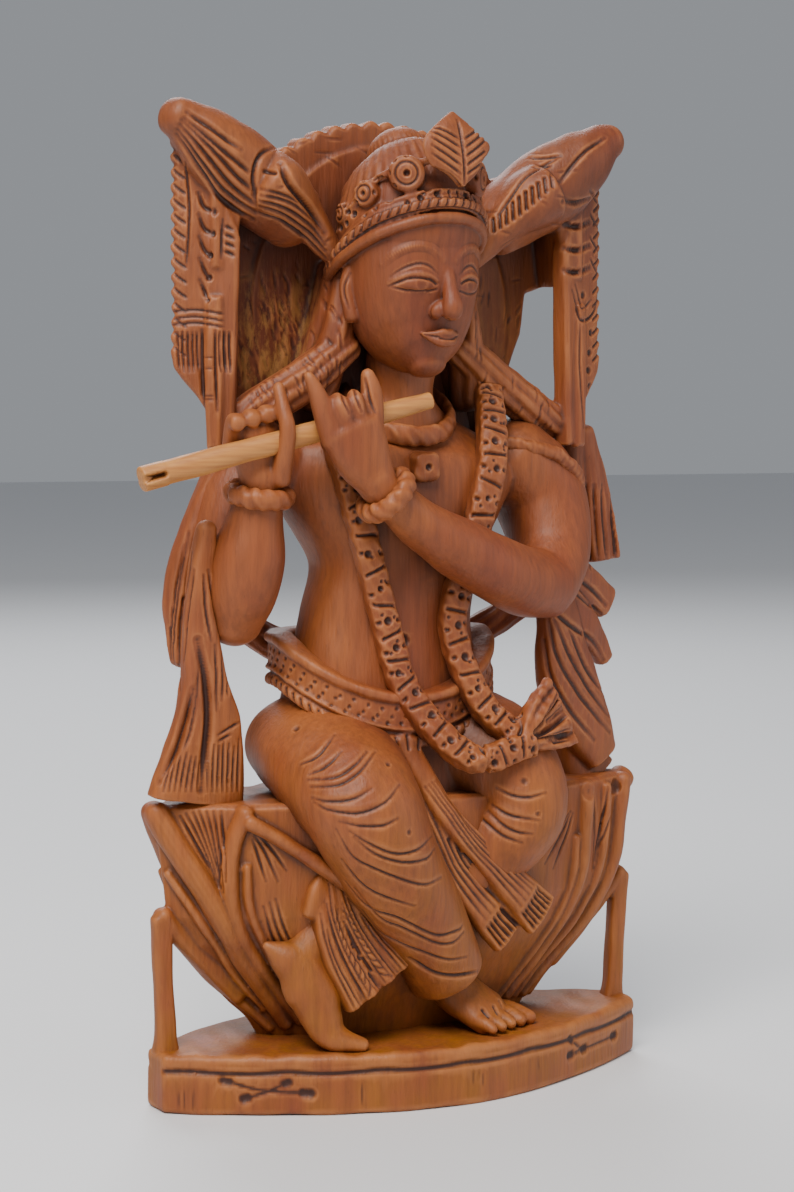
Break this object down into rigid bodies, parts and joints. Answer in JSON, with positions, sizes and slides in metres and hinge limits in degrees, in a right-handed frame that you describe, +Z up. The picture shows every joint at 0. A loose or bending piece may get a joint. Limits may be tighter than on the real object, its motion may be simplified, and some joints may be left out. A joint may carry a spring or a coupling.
{
  "type": "carved wooden figurine",
  "caption": "Seated flute player on a lotus seat and a boat-shaped plinth, carved from one block of wood, with a loose wooden flute held through both hands.",
  "frame": {"origin": "middle of the plinth's flat underside", "axes": "+Z up; the figure faces -Y and its own right hand is towards -X"},
  "size_m": [0.0768, 0.0354, 0.1264],
  "materials": {
    "stained_wood": "reddish brown stain, satin, darker in the cuts and lighter on the worn edges",
    "flute_wood": "pale tan, satin, with lengthwise grain"
  },
  "bodies": {
    "root": {"carved_figure": "stained_wood", "flute": "flute_wood"}
  },
  "joints": []
}
